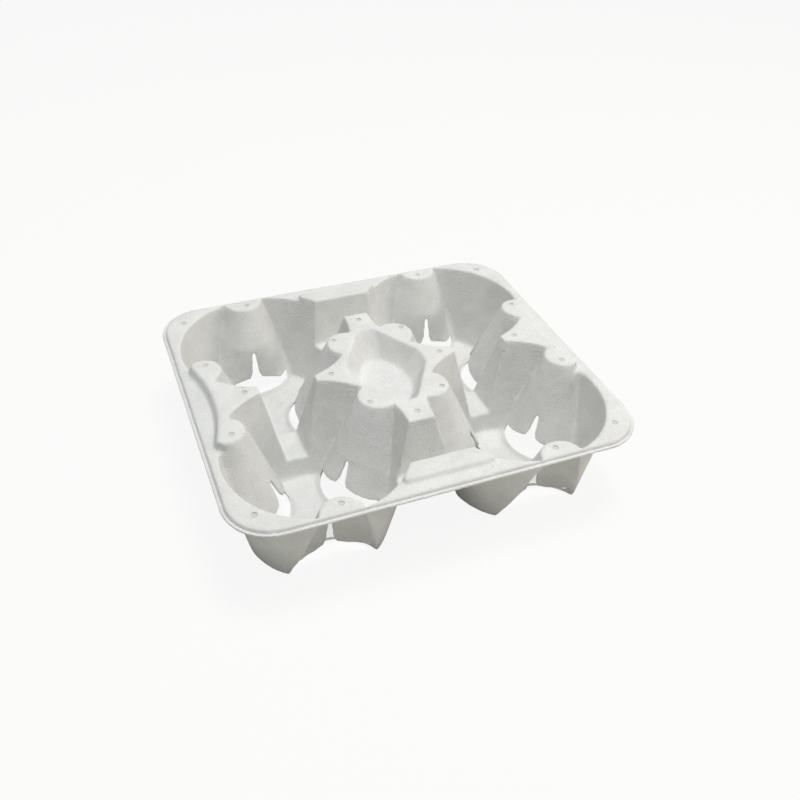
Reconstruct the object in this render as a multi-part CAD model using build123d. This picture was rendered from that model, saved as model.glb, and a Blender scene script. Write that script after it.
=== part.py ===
# Four-cup carrier moulded in one piece from paper pulp.
# Frame: millimetres, +Z up, origin at the centre of the footprint, the four
# wells standing on z = 0. +X runs along the longer side.
#
# The carrier is one shell of even thickness. It is worked out as two heaps of
# solid: the upper one ends at the surface that the cups touch, the lower one
# ends one wall below it, and the carrier is what lies between the two.
from build123d import *
from math import cos, sin, radians, hypot
import os

# ---- driving dimensions ------------------------------------------------
WALL = 1.5                   # thickness of the pulp, taken level

LENGTH = 220.0               # outside of the rim, along X
WIDTH = 196.0                # outside of the rim, along Y
CORNER_RADIUS = 25.0         # rim corners, in plan
LIP = 2.4                    # narrow lip outside the step of the rim

LIP_TOP = 51.0               # heights of the upper surfaces
RING_TOP = 52.4
END_FLAT_TOP = 55.0
DECK_TOP = 57.5

WELL_X = 57.8                # well centres are at (+-WELL_X, +-WELL_Y)
WELL_Y = 50.4
WELL_FLOOR_RADIUS = 36.2     # at the upper side of the floor
WELL_TOP_RADIUS = 48.8       # at DECK_TOP
WELL_LEAN = 2.5              # the wells lean this far towards the centre post

RIB_FOOT = (38.6, 26.1)      # distance from the well's centre, radius
RIM_RIB_HEAD = (45.9, 9.4)   # ribs under the long rims, at DECK_TOP
SIDE_RIB_HEAD = (44.4, 9.8)  # ribs under the side decks, at DECK_TOP
POST_RIB_HEAD = (50.0, 10.6) # ribs under the centre post, at DECK_TOP
SIDE_RIB_SHIFT = 1.8         # the side ribs sit this far towards y = 0

GAP_FLOOR = 4.0              # lower edge of the gap cut through each rib
GAP_CROWN = 14.2             # upper edge of the gap, at the rib's middle
GAP_SHOULDER = 9.0           # upper edge where the gap ends, beside the rib
GAP_HALF_WIDTH = 21.0        # half the gap's width, across the rib
GAP_SHOULDER_HALF = 19.5     # and at the shoulder
GAP_CROWN_HALF = 3.6         # half the width of the crown, where the slit's flare starts
GAP_FLARE = 3.0              # height of that flare
GAP_REACH = 42.0             # how far out from the well's centre the gap runs
SLIT_TOP = 27.4              # top of the slit up each rib
SLIT_HALF_TOP = 0.6
SLIT_HALF_BOTTOM = 2.0

SIDE_SADDLE_TOP = 13.0       # between the wells of one side
SIDE_SADDLE_HALF = 6.0       # half width at the saddle, along X
SIDE_SADDLE_HALF_TOP = 15.6  # half width at DECK_TOP
SIDE_SADDLE_X = 56.4
END_SADDLE_TOP = 27.2        # between the wells of one end
END_SADDLE_HALF = 5.7
END_SADDLE_HALF_TOP = 13.0
END_SADDLE_Y = 64.6

SIDE_DECK_HALF = 33.2        # side decks, half length at the outer step, along Y
SIDE_DECK_FLARE = 5.5        # and how much longer they are further in
SIDE_DECK_EDGE = 96.0        # outer step of a side deck, at its middle
SIDE_DECK_EDGE_END = 102.0   # and at its ends
SIDE_DECK_INNER = 70.0
END_FLAT_EDGE = 88.0         # outer step of the flats in the middle of the long rims
END_FLAT_HALF = 24.0
POST_HALF_X = 45.0
POST_HALF_Y = 60.0

POCKET_FLOOR = 43.0          # pocket in the top of the centre post
POCKET_TOP_HALF = (21.9, 34.6)
POCKET_TOP_CUT = (5.5, 4.6)
POCKET_FLOOR_HALF = (13.9, 22.7)
POCKET_FLOOR_CUT = (7.0, 5.0)
POCKET_ROUND = 5.0

SIDE_SADDLE_LENGTH = 40.0    # how far the saddles reach into the wells, in all
END_SADDLE_LENGTH = 60.0

OVER = 6.0                   # how far a cut runs past the surface it opens
PAST = 1.0                   # how far a tool runs past the space it cuts
SPREAD = 10.0                # how far the lower heap runs out past the rim
DEEP = 12.0                  # how far the heaps reach below the feet

CORNERS = [(sx, sy) for sx in (-1, 1) for sy in (-1, 1)]


def between(z, low, high, at_low, at_high):
    """Value on the straight line through (low, at_low) and (high, at_high)."""
    return at_low + (at_high - at_low) * (z - low) / (high - low)


def rounded_block(half_x, half_y, radius, low, high):
    """Upright block with round corners, between two heights."""
    outline = RectangleRounded(2 * half_x, 2 * half_y, radius)
    return extrude(Plane.XY.offset(low) * outline, high - low)


def circle_at(x, y, z, radius):
    return Plane((x, y, z)) * Circle(radius)


# ---- the heap below a surface --------------------------------------------
def side_deck(sx, grow, base):
    """Raised deck at one short side; its outer step bends inwards."""
    half = SIDE_DECK_HALF - grow
    end = sx * (SIDE_DECK_EDGE_END - grow)
    middle = sx * (SIDE_DECK_EDGE - grow)
    inner = sx * SIDE_DECK_INNER
    step = ThreePointArc((end, -half), (middle, 0), (end, half))
    shoulder = sx * (SIDE_DECK_EDGE_END - SIDE_DECK_FLARE)
    wide = half + SIDE_DECK_FLARE
    front = [(end, half), (shoulder, wide), (inner, wide)]
    back = [(inner, -wide), (shoulder, -wide), (end, -half)]
    rest = Polyline(*front, *back)
    top = DECK_TOP - grow
    return extrude(Plane.XY.offset(base) * make_face(step + rest), top - base)


def end_flat(sy, grow, base):
    """Low flat in the middle of a long rim."""
    inner = END_SADDLE_Y - END_SADDLE_HALF_TOP
    depth = END_FLAT_EDGE - grow - inner
    outline = Rectangle(2 * (END_FLAT_HALF - grow), depth)
    place = Plane((0, sy * (inner + depth / 2), base))
    return extrude(place * outline, END_FLAT_TOP - grow - base)


def post_block(grow, base):
    """Block that the centre post is cut from."""
    outline = Rectangle(2 * POST_HALF_X, 2 * POST_HALF_Y)
    return extrude(Plane.XY.offset(base) * outline, DECK_TOP - grow - base)


def heap(grow):
    """Solid ground under the carrier, before the wells are sunk in it."""
    base = -DEEP - grow
    spread = SPREAD if grow else 0.0
    half_x = LENGTH / 2 + spread
    half_y = WIDTH / 2 + spread
    lip = rounded_block(half_x, half_y, CORNER_RADIUS + spread, base, LIP_TOP - grow)
    inset = LIP + grow
    half_x = LENGTH / 2 - inset
    half_y = WIDTH / 2 - inset
    ring = rounded_block(half_x, half_y, CORNER_RADIUS - inset, base, RING_TOP - grow)
    solid = lip + ring + post_block(grow, base)
    for side in (-1, 1):
        solid += side_deck(side, grow, base)
        solid += end_flat(side, grow, base)
    return solid


# ---- wells -----------------------------------------------------------------
def well_section(sx, sy, z, grow):
    """Round section of a well at one height, before its ribs."""
    away = hypot(WELL_X, WELL_Y)
    lean = between(z, WALL, DECK_TOP, 0, WELL_LEAN)
    radius = between(z, WALL, DECK_TOP, WELL_FLOOR_RADIUS, WELL_TOP_RADIUS)
    x = sx * WELL_X * (1 - lean / away)
    y = sy * WELL_Y * (1 - lean / away)
    return circle_at(x, y, z, radius + grow)


def rib_section(sx, sy, angle, head, shift, z, grow):
    """Round section of a rib at one height; the angle is for the well at +X +Y."""
    distance = between(z, WALL, DECK_TOP, RIB_FOOT[0], head[0])
    radius = between(z, WALL, DECK_TOP, RIB_FOOT[1], head[1])
    side = between(z, WALL, DECK_TOP, 0, shift)
    x = WELL_X + distance * cos(radians(angle))
    y = WELL_Y + distance * sin(radians(angle)) - side
    return circle_at(sx * x, sy * y, z, radius - grow)


def taper(section, low, high):
    """Straight taper between the sections at two heights."""
    return loft([section(low), section(high)], ruled=True)


RIBS = [(90, RIM_RIB_HEAD, 0.0), (-30, SIDE_RIB_HEAD, SIDE_RIB_SHIFT), (210, POST_RIB_HEAD, 0.0)]


def well(sx, sy, grow):
    """Space inside one well: a leaning cone with three ribs standing into it."""
    floor = WALL - grow
    top = DECK_TOP + OVER
    space = taper(lambda z: well_section(sx, sy, z, grow), floor, top)
    for angle, head, shift in RIBS:
        section = lambda z: rib_section(sx, sy, angle, head, shift, z, grow)
        rib = taper(section, floor - PAST, top + PAST)
        space -= rib
    return space


# ---- saddles between the wells, and the pocket ------------------------------
def side_saddle(sx, grow):
    """Opening between the two wells of one short side."""
    low = SIDE_SADDLE_TOP - grow
    high = DECK_TOP + OVER
    bottom = SIDE_SADDLE_HALF + grow
    top = between(high, SIDE_SADDLE_TOP, DECK_TOP, SIDE_SADDLE_HALF, SIDE_SADDLE_HALF_TOP) + grow
    x = sx * SIDE_SADDLE_X
    return loft([Plane((x, 0, low)) * Rectangle(2 * bottom, SIDE_SADDLE_LENGTH),
                 Plane((x, 0, high)) * Rectangle(2 * top, SIDE_SADDLE_LENGTH)], ruled=True)


def end_saddle(sy, grow):
    """Opening between the two wells of one long side."""
    low = END_SADDLE_TOP - grow
    high = DECK_TOP + OVER
    bottom = END_SADDLE_HALF + grow
    top = between(high, END_SADDLE_TOP, DECK_TOP, END_SADDLE_HALF, END_SADDLE_HALF_TOP) + grow
    y = sy * END_SADDLE_Y
    return loft([Plane((0, y, low)) * Rectangle(END_SADDLE_LENGTH, 2 * bottom),
                 Plane((0, y, high)) * Rectangle(END_SADDLE_LENGTH, 2 * top)], ruled=True)


def long_octagon(half, cut, z, grow):
    """Octagon with short ends: its half sizes and the half lengths of the ends."""
    hx, hy = half[0] + grow, half[1] + grow
    cx, cy = cut
    right = [(hx, -cx), (hx, cx), (cy, hy)]
    left = [(-cy, hy), (-hx, cx), (-hx, -cx)]
    outline = Polyline(*right, *left, (-cy, -hy), (cy, -hy), close=True)
    face = make_face(outline)
    return Plane.XY.offset(z) * fillet(face.vertices(), POCKET_ROUND)


def pocket(grow):
    """Hollow in the top of the centre post, with sloping walls."""
    low = POCKET_FLOOR - grow
    high = DECK_TOP + OVER
    scale = (high - POCKET_FLOOR) / (DECK_TOP - POCKET_FLOOR)
    half = [f + (t - f) * scale for f, t in zip(POCKET_FLOOR_HALF, POCKET_TOP_HALF)]
    cut = [f + (t - f) * scale for f, t in zip(POCKET_FLOOR_CUT, POCKET_TOP_CUT)]
    return loft([long_octagon(POCKET_FLOOR_HALF, POCKET_FLOOR_CUT, low, grow),
                 long_octagon(half, cut, high, grow)], ruled=True)


# ---- gaps and slits through the ribs ----------------------------------------
def rib_gap(sx, sy, angle):
    """Cut that parts a rib from the floor, with the slit that rises from it."""
    half = [(GAP_HALF_WIDTH, GAP_FLOOR), (GAP_SHOULDER_HALF, GAP_SHOULDER), (GAP_CROWN_HALF, GAP_CROWN),
            (SLIT_HALF_BOTTOM, GAP_CROWN + GAP_FLARE), (SLIT_HALF_TOP, SLIT_TOP)]
    outline = Polyline(*half, *[(-v, z) for v, z in reversed(half)], close=True)
    turned = angle if sx > 0 else 180 - angle
    turned = turned if sy > 0 else -turned
    ahead = Vector(cos(radians(turned)), sin(radians(turned)), 0)
    across = Vector(-ahead.Y, ahead.X, 0)
    place = Plane(origin=Vector(sx * WELL_X, sy * WELL_Y, 0), x_dir=across, z_dir=ahead)
    return extrude(place * make_face(outline), GAP_REACH)


def surface(grow):
    """Everything below the surface that lies `grow` under the cups' side."""
    solid = heap(grow)
    for sx, sy in CORNERS:
        solid -= well(sx, sy, grow)
    for side in (-1, 1):
        solid -= side_saddle(side, grow)
        solid -= end_saddle(side, grow)
    return solid - pocket(grow)


def carrier():
    """The whole carrier: one wall of pulp, with its gaps and slits cut through."""
    shell = surface(0.0) - surface(WALL)
    for sx, sy in CORNERS:
        for rib in RIBS:
            shell -= rib_gap(sx, sy, rib[0])
    return shell


os.makedirs("parts", exist_ok=True)
tray = carrier()
export_step(tray, "parts/carrier.step")
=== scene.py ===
from math import cos, radians, sin
import bpy
import numpy as np
from mathutils import Matrix, Vector


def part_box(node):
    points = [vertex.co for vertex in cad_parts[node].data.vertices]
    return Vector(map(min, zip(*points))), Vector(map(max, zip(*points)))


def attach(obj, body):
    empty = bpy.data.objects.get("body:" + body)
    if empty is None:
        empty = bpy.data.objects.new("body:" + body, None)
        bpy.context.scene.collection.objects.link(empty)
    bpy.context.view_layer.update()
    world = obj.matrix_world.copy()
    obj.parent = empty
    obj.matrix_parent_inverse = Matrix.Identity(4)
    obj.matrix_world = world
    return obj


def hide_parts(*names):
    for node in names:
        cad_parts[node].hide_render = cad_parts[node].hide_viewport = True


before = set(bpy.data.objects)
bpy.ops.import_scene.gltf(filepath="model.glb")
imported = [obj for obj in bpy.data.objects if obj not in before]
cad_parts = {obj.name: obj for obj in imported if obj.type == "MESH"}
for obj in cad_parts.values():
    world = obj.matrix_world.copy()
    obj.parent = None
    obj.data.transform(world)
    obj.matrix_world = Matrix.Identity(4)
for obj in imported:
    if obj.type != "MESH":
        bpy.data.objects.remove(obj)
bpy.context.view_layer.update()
bpy.ops.object.select_all(action="DESELECT")

# ---------------------------------------------------------------------------
# The carrier is one sheet of paper pulp, felted on a wire mould, pressed and
# dried. It starts as the stiff pressed shape, whose corners are still sharp,
# and is felted over with small even squares.
# ---------------------------------------------------------------------------
MM = 0.001
MERGE_DISTANCE = 0.002 * MM
FELT_SQUARE = 0.65 * MM
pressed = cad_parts["carrier"]
low, high = (Vector(corner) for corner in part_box("carrier"))
middle = (low + high) / 2
carrier = bpy.data.objects.new("pulp_carrier", pressed.data.copy())
bpy.context.collection.objects.link(carrier)
carrier.select_set(True)
bpy.context.view_layer.objects.active = carrier
bpy.ops.object.mode_set(mode="EDIT")
bpy.ops.mesh.select_all(action="SELECT")
bpy.ops.mesh.remove_doubles(threshold=MERGE_DISTANCE)
bpy.ops.object.mode_set(mode="OBJECT")


def finish_modifier(kind, **settings):
    """Gives the carrier one modifier and applies it."""
    modifier = carrier.modifiers.new(kind.lower(), kind)
    for name, value in settings.items():
        setattr(modifier, name, value)
    bpy.ops.object.modifier_apply(modifier=modifier.name)


finish_modifier("REMESH", mode="VOXEL", voxel_size=FELT_SQUARE)

# ---------------------------------------------------------------------------
# The felt rounds every fold, most of all in the feet, in the post's pocket
# and on the steps round the decks. The rim was pressed between two plates
# and the slits were left by thin blades, so those stay crisp.
# ---------------------------------------------------------------------------
FOLD_PASSES = 60
RIM_PASSES = 2
RIM_BAND = 4.0 * MM
RIM_TOP = 51 * MM
CORNER = 25.0 * MM
TOP = 57.5 * MM
ABOVE_WELLS = 45 * MM
ABOVE_WALLS = 48 * MM
WELL_X = 57.8 * MM
WELL_Y = 50.4 * MM


def places():
    """Every point of the carrier, one row each."""
    spots = np.empty(len(carrier.data.vertices) * 3, dtype=np.float32)
    carrier.data.vertices.foreach_get("co", spots)
    return spots.reshape(-1, 3)


def inset(spots):
    """How far each point lies inside the rim's rounded outline."""
    half = np.array(((high.x - low.x) / 2, (high.y - low.y) / 2))
    beyond = np.abs(spots[:, :2] - np.array((middle.x, middle.y))) - (half - CORNER)
    outside = np.linalg.norm(np.maximum(beyond, 0), axis=1)
    return CORNER - outside - np.minimum(beyond.max(axis=1), 0)


def set_places(spots):
    """Puts every point of the carrier at its new place."""
    carrier.data.vertices.foreach_set("co", spots.astype(np.float32).ravel())
    carrier.data.update()


def group(name, weights):
    """Vertex group with one of a few even weights for each point."""
    members = carrier.vertex_groups.new(name=name)
    steps = np.round(weights * 8).astype(int)
    for step in range(1, 9):
        members.add(np.nonzero(steps == step)[0].tolist(), step / 8, "REPLACE")


# up stays tied to spots, so it follows each point that is lowered below
spots = places()
side, end, up = np.abs(spots[:, 0]), np.abs(spots[:, 1]), spots[:, 2]

# the steps round the decks and the end flats lean outwards
DECK_EDGE = 96 * MM
DECK_BOW = 5.44
DECK_STEP = 5.1 * MM
DECK_LEAN = 2.0 * MM
END_FLAT_EDGE = 88 * MM
END_FLAT_TOP = 55 * MM
END_FLAT_STEP = 2.6 * MM
END_FLAT_LEAN = 0.8 * MM
from_deck = side - (DECK_EDGE + DECK_BOW * end ** 2)
lean = DECK_LEAN * np.clip((TOP - up) / DECK_STEP, 0, 1)
lean *= np.interp(from_deck, (-5 * MM, -1.5 * MM, 0, 7 * MM), (0, 1, 1, 0)) * (up > ABOVE_WELLS)
spots[:, 0] += np.sign(spots[:, 0]) * lean * np.interp(end, (30 * MM, 37 * MM), (1, 0))
from_end_flat = end - END_FLAT_EDGE
lean = END_FLAT_LEAN * np.clip((END_FLAT_TOP - up) / END_FLAT_STEP, 0, 1)
lean *= np.interp(from_end_flat, (-5 * MM, -1.5 * MM, 0, 6 * MM), (0, 1, 1, 0)) * (up > ABOVE_WELLS)
spots[:, 1] += np.sign(spots[:, 1]) * lean * np.interp(side, (22 * MM, 28 * MM), (1, 0))

# a fine groove runs round the rim, inside its lip
GROOVE_DEPTH = 0.7 * MM
groove = np.interp(inset(spots), (1.0 * MM, 1.7 * MM, 2.5 * MM, 2.6 * MM), (0, 1, 1, 0))
spots[:, 2] -= GROOVE_DEPTH * groove * (np.abs(up - RIM_TOP) < 0.6 * MM)

# the two flaps at the foot of each rim rib spring outwards and down; the
# cusps between a well and its ribs are the softest folds. Each rib is a cone,
# given by its turn, then its axis distance and radius at the head, in MM, and
# whether its flaps spring
RIBS = ((90, 45.9, 9.4, 1), (-30, 44.4, 9.8, 0), (210, 50.0, 10.6, 0))
FOOT_DISTANCE = 38.6
FOOT_RADIUS = 26.1
BLADE_HALF = 4.0 * MM
SPRING_OUT = 4 * MM
SPRING_DOWN = 5 * MM
CUSP_ACROSS = 23.6 * MM
CUSP_ALONG = 27.4 * MM
softness = np.interp(up, (6 * MM, 14 * MM), (0.5, 0.25))
softness[up > 50 * MM] = 0.17
from_well = np.stack((side - WELL_X, end - WELL_Y), axis=1)
softness[(np.linalg.norm(from_well, axis=1) > 32 * MM) & (up < 7 * MM)] = 1.0
for turn, head_distance, head_radius, springy in RIBS:
    ahead = np.array((cos(radians(turn)), sin(radians(turn))))
    along = from_well @ ahead
    across = np.abs(from_well @ np.array((-ahead[1], ahead[0])))
    rise = up / TOP
    rib_radius = (FOOT_RADIUS + (head_radius - FOOT_RADIUS) * rise) * MM
    axis_distance = (FOOT_DISTANCE + (head_distance - FOOT_DISTANCE) * rise) * MM
    from_axis = np.hypot(along - axis_distance, across)
    on_rib = (np.abs(from_axis - rib_radius) < 3.5 * MM) & (up > 8.3 * MM) & (along > 0)
    spring = springy * np.clip((30 * MM - up) / (16 * MM), 0, 1) ** 1.3 * on_rib
    outward = SPRING_OUT * spring * np.interp(across, (9 * MM, 19 * MM), (1, 0))
    downward = SPRING_DOWN * spring * np.interp(across, (16 * MM, 21.5 * MM), (1, 0))
    spots[:, 0] += np.sign(spots[:, 0]) * ahead[0] * outward
    spots[:, 1] += np.sign(spots[:, 1]) * ahead[1] * outward
    spots[:, 2] -= downward
    softness[(across < BLADE_HALF) & on_rib & (up < 31 * MM)] = 0.12
    from_cusp = np.hypot(across - CUSP_ACROSS + 0.2 * up, along - CUSP_ALONG - 0.415 * up)
    softness[(from_cusp < 5 * MM) & (up < 24 * MM)] = 1.0
set_places(spots)

# the pocket, then the steps of the decks and of the end flats; the rim has none
softness[(side < 23 * MM) & (end < 36 * MM) & (up < 56 * MM) & (up > 40 * MM)] = 0.75
softness[(side > 90 * MM) & (side < 103.5 * MM) & (end < 42 * MM) & (up > ABOVE_WALLS)] = 0.4
softness[(side < 27 * MM) & (end > 82 * MM) & (end < 93 * MM) & (up > ABOVE_WALLS)] = 0.3
on_rim = (inset(spots) < RIM_BAND) & (up > ABOVE_WALLS)
softness[on_rim] = 0.0
group("folds", softness)
group("rim", np.where(on_rim, 1.0, 0.0))
finish_modifier("SMOOTH", factor=0.5, iterations=FOLD_PASSES, vertex_group="folds")
finish_modifier("SMOOTH", factor=0.5, iterations=RIM_PASSES, vertex_group="rim")

# ---------------------------------------------------------------------------
# Wet pulp never settles quite evenly: the dried sheet is a little wavy and
# its skin is lumpy.
# ---------------------------------------------------------------------------
SHEET_TRIANGLES = 190000

for name, grain, height in (("sheet_waves", 14.0, 0.35), ("sheet_lumps", 2.6, 0.16)):
    clouds = bpy.data.textures.new(name, "CLOUDS")
    clouds.noise_scale = grain * MM
    clouds.noise_depth = 1
    finish_modifier("DISPLACE", texture=clouds, texture_coords="LOCAL",
                    strength=height * MM, mid_level=0.5)

triangles = sum(len(face.vertices) - 2 for face in carrier.data.polygons)
finish_modifier("DECIMATE", ratio=SHEET_TRIANGLES / triangles)
carrier.vertex_groups.clear()

# ---------------------------------------------------------------------------
# The pins that lift the dried sheet off its mould leave small round marks on
# the tabs, the decks and the post.
# ---------------------------------------------------------------------------
PIN_RADIUS = 1.7
PIN_DEPTH = 0.4
PIN_LENGTH = 4
PINS = [(56.7, 89.6, 52.4), (93.7, 30.4, 57.5), (79.7, 0.0, 57.5), (0.0, 44.9, 57.5),
        (32.0, 0.0, 57.5), (20.6, 29.8, 57.5), (96.0, 83.0, 52.4)]

for x, y, z in PINS:
    for side_x in ((1, -1) if x else (1,)):
        for side_y in ((1, -1) if y else (1,)):
            spot = (side_x * x * MM, side_y * y * MM, (z - PIN_DEPTH + PIN_LENGTH / 2) * MM)
            bpy.ops.mesh.primitive_cylinder_add(vertices=20, radius=PIN_RADIUS * MM,
                                                depth=PIN_LENGTH * MM, location=spot)
            pin = bpy.context.object
            bpy.ops.object.transform_apply()
            bpy.ops.object.select_all(action="DESELECT")
            carrier.select_set(True)
            bpy.context.view_layer.objects.active = carrier
            finish_modifier("BOOLEAN", operation="DIFFERENCE", solver="MANIFOLD", object=pin)
            bpy.data.objects.remove(pin)

bpy.ops.object.shade_smooth_by_angle(angle=radians(40))

# ---------------------------------------------------------------------------
# Bleached grey-white pulp: matt and faintly mottled, with short fibres lying
# every way in its skin, a few dark flecks of old print, and on the steep
# walls the print of the mould's wire mesh.
# ---------------------------------------------------------------------------
PULP = (0.84, 0.845, 0.83, 1)
PULP_SHADE = (0.77, 0.775, 0.755, 1)
FLECK = (0.45, 0.44, 0.42, 1)
pulp = bpy.data.materials.new("moulded_pulp")
pulp.use_nodes = True
nodes = pulp.node_tree.nodes
links = pulp.node_tree.links
shader = nodes["Principled BSDF"]
shader.inputs["Roughness"].default_value = 0.92
shader.inputs["Specular IOR Level"].default_value = 0.25
place = nodes.new("ShaderNodeTexCoord")


def noise(scale, detail, roughness=0.5, distortion=0.0):
    """Even noise all through the pulp."""
    node = nodes.new("ShaderNodeTexNoise")
    node.inputs["Scale"].default_value = scale
    node.inputs["Detail"].default_value = detail
    node.inputs["Roughness"].default_value = roughness
    node.inputs["Distortion"].default_value = distortion
    links.new(place.outputs["Object"], node.inputs["Vector"])
    return node.outputs["Fac"]


def ramp(source, at_low, at_high, low_colour, high_colour):
    """Turns one band of a pattern into a blend of two colours."""
    node = nodes.new("ShaderNodeValToRGB")
    node.color_ramp.elements[0].position = at_low
    node.color_ramp.elements[0].color = low_colour
    node.color_ramp.elements[1].position = at_high
    node.color_ramp.elements[1].color = high_colour
    links.new(source, node.inputs["Fac"])
    return node.outputs["Color"]


def blend(kind, factor, first, second):
    """Mixes two colours."""
    node = nodes.new("ShaderNodeMix")
    node.data_type = "RGBA"
    node.blend_type = kind
    node.inputs["Factor"].default_value = factor
    links.new(first, node.inputs["A"])
    links.new(second, node.inputs["B"])
    return node.outputs["Result"]


def bump(height, strength, distance, under=None):
    """Relief from a pattern, on top of another relief."""
    node = nodes.new("ShaderNodeBump")
    node.inputs["Strength"].default_value = strength
    node.inputs["Distance"].default_value = distance * MM
    links.new(height, node.inputs["Height"])
    if under:
        links.new(under, node.inputs["Normal"])
    return node.outputs["Normal"]


WHITE = (1, 1, 1, 1)
MOTTLE_SCALE = 70
GRAIN_SCALE = 1100
FLECK_SCALE = 520
WIRE_SCALE = 370
FIBRE_SCALE = 900
SKIN_RELIEF = 0.25
mottled = ramp(noise(MOTTLE_SCALE, 5, 0.6), 0.35, 0.62, PULP_SHADE, PULP)
grainy = ramp(noise(GRAIN_SCALE, 3, 0.6), 0.3, 0.65, (0.86, 0.86, 0.86, 1), WHITE)
flecks = ramp(noise(FLECK_SCALE, 2, 0.5, 1.5), 0.24, 0.29, FLECK, WHITE)
shape = nodes.new("ShaderNodeNewGeometry")
# painted shade: the pulp colour is darkened where pointiness is low, in the concave creases and
# folds
crease_shade = ramp(shape.outputs["Pointiness"], 0.40, 0.49, (0.55, 0.55, 0.53, 1), WHITE)
skin = blend("MULTIPLY", 0.7, blend("MULTIPLY", 0.8, mottled, grainy), flecks)
links.new(blend("MULTIPLY", 0.6, skin, crease_shade), shader.inputs["Base Color"])

wires = []
for slant in (1, -1):
    turned = nodes.new("ShaderNodeMapping")
    turned.inputs["Scale"].default_value = (1, 1, slant)
    links.new(place.outputs["Object"], turned.inputs["Vector"])
    wire = nodes.new("ShaderNodeTexWave")
    wire.bands_direction = "DIAGONAL"
    wire.inputs["Scale"].default_value = WIRE_SCALE
    wire.inputs["Distortion"].default_value = 3.0
    wire.inputs["Detail"].default_value = 2
    links.new(turned.outputs["Vector"], wire.inputs["Vector"])
    wires.append(wire.outputs["Color"])
mesh_print = blend("MULTIPLY", 1.0, *wires)
facing = nodes.new("ShaderNodeSeparateXYZ")
links.new(place.outputs["Normal"], facing.inputs["Vector"])
steep = ramp(facing.outputs["Z"], 0.35, 0.8, WHITE, (0.15, 0.15, 0.15, 1))
relief = bump(blend("MULTIPLY", 1.0, mesh_print, steep), 0.5, SKIN_RELIEF)
relief = bump(noise(FIBRE_SCALE, 4, 0.6, 1.2), 0.85, SKIN_RELIEF, relief)
links.new(relief, shader.inputs["Normal"])
carrier.data.materials.clear()
carrier.data.materials.append(pulp)

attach(carrier, "root")
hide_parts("carrier")

# ---------------------------------------------------------------------------
# The table top is plain white board. The camera sees it close to white, with
# a light shadow under the carrier.
# ---------------------------------------------------------------------------
TABLE_SIZE = 6.0
TABLE_DROP = 0.2 * MM
GLOW_SHARE = 0.9
bpy.ops.mesh.primitive_plane_add(size=TABLE_SIZE, location=(middle.x, middle.y, low.z - TABLE_DROP))
table_top = bpy.context.object
table_top.name = "table_top"
board = bpy.data.materials.new("white_board")
board.use_nodes = True
nodes = board.node_tree.nodes
links = board.node_tree.links
paint = nodes["Principled BSDF"]
paint.inputs["Base Color"].default_value = (0.72, 0.71, 0.66, 1)
paint.inputs["Roughness"].default_value = 0.9
paint.inputs["Specular IOR Level"].default_value = 0.0
glow = nodes.new("ShaderNodeEmission")
path = nodes.new("ShaderNodeLightPath")
share = nodes.new("ShaderNodeMath")
share.operation = "MULTIPLY"
share.inputs[1].default_value = GLOW_SHARE
mix = nodes.new("ShaderNodeMixShader")
links.new(path.outputs["Is Camera Ray"], share.inputs[0])
links.new(share.outputs["Value"], mix.inputs["Fac"])
links.new(paint.outputs["BSDF"], mix.inputs[1])
links.new(glow.outputs["Emission"], mix.inputs[2])
links.new(mix.outputs["Shader"], nodes["Material Output"].inputs["Surface"])
table_top.data.materials.append(board)

# ---------------------------------------------------------------------------
# Studio light: one large soft lamp almost overhead, a faint warm one on the
# right, and a pale room.
# ---------------------------------------------------------------------------
room = bpy.data.worlds.new("pale_room")
bpy.context.scene.world = room
room.use_nodes = True
room.node_tree.nodes["Background"].inputs["Color"].default_value = (0.97, 1.0, 0.99, 1)
room.node_tree.nodes["Background"].inputs["Strength"].default_value = 0.30

LAMP_SIZE = 0.5
LAMPS = (("overhead_lamp", (0.12, -0.04, 1.25), 10.2, (1, 1, 1)),
         ("warm_lamp", (1.1, -0.35, 0.55), 3.6, (1.0, 0.84, 0.72)))

for name, spot, power, colour in LAMPS:
    bpy.ops.object.light_add(type="AREA", location=spot)
    lamp = bpy.context.object
    lamp.name = name
    lamp.data.shape = "DISK"
    lamp.data.size = LAMP_SIZE
    lamp.data.energy = power
    lamp.data.color = colour
    lamp.rotation_euler = (Vector(spot) - middle).to_track_quat("Z", "Y").to_euler()

# ---------------------------------------------------------------------------
# The camera stands in front of the carrier, a little to its left, and looks
# down into the wells.
# ---------------------------------------------------------------------------
LENS = 39.23
DISTANCE = 466.46
aim = Vector((middle.x - 1.94 * MM, middle.y - 26.06 * MM, low.z + 51.0 * MM))
azimuth = radians(-23.125)
elevation = radians(38.578)
roll = radians(2.123)
back = Vector((sin(azimuth) * cos(elevation), -cos(azimuth) * cos(elevation), sin(elevation)))
level = Vector((cos(azimuth), sin(azimuth), 0))
upward = back.cross(level)
right = level * cos(roll) + upward * sin(roll)
top = upward * cos(roll) - level * sin(roll)
bpy.ops.object.camera_add(location=aim + back * DISTANCE * MM)
camera = bpy.context.object
camera.rotation_euler = Matrix((right, top, back)).transposed().to_euler()
camera.data.lens = LENS
camera.data.clip_start = 0.01
bpy.context.scene.camera = camera
bpy.context.scene.view_settings.view_transform = "Standard"
